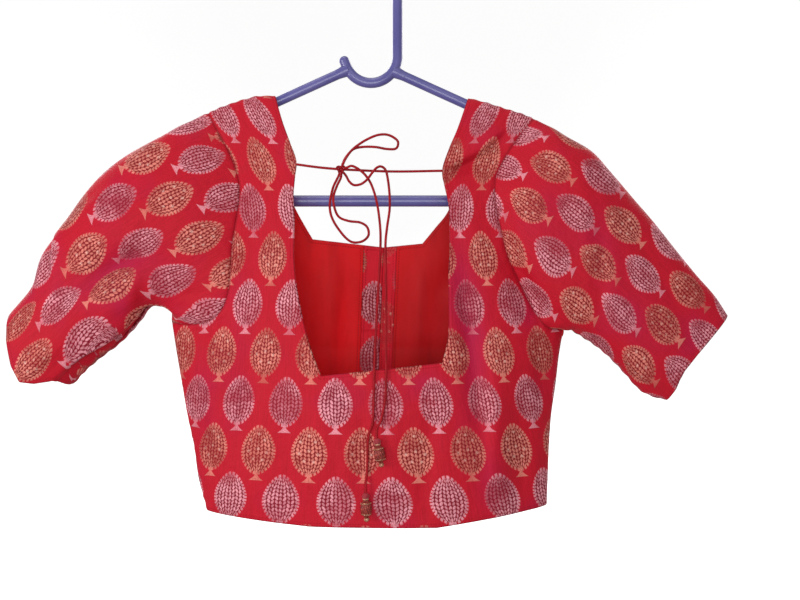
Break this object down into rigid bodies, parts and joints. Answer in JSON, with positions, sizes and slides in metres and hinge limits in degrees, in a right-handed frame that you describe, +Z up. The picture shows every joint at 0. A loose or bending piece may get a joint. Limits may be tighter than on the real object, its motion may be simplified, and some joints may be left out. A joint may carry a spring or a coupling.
{
  "type": "choli blouse on a clothes hanger",
  "caption": "Short fitted choli blouse with elbow sleeves, a deep square back neck tied with a tasselled cord, hung on a tubular hanger.",
  "frame": {"origin": "the point inside the hanger's hook that rests on a rail", "axes": "+Z up, +X across the blouse to the right as seen from its back, -Y out of the back panel"},
  "size_m": [0.6435, 0.1233, 0.5101],
  "materials": {
    "brocade": "woven crimson silk with metallic tree motifs",
    "lining": "plain red satin",
    "cord": "smooth red cord",
    "tassel": "antique gold thread and beads",
    "hanger": "glossy violet"
  },
  "bodies": {
    "root": {"back_panel": "brocade", "front_left": "brocade", "front_right": "brocade", "sleeve_left": "brocade", "sleeve_right": "brocade", "eye_strip": "brocade", "hook_strip": "brocade", "lining_left": "lining", "lining_right": "lining", "tie_left": "cord", "tie_right": "cord", "bow_knot": "cord", "bow_loop_upper": "cord", "bow_loop_lower": "cord", "tail_long": "cord", "tail_short": "cord", "tassel_long": "tassel", "tassel_short": "tassel", "hanger": "hanger"}
  },
  "joints": []
}
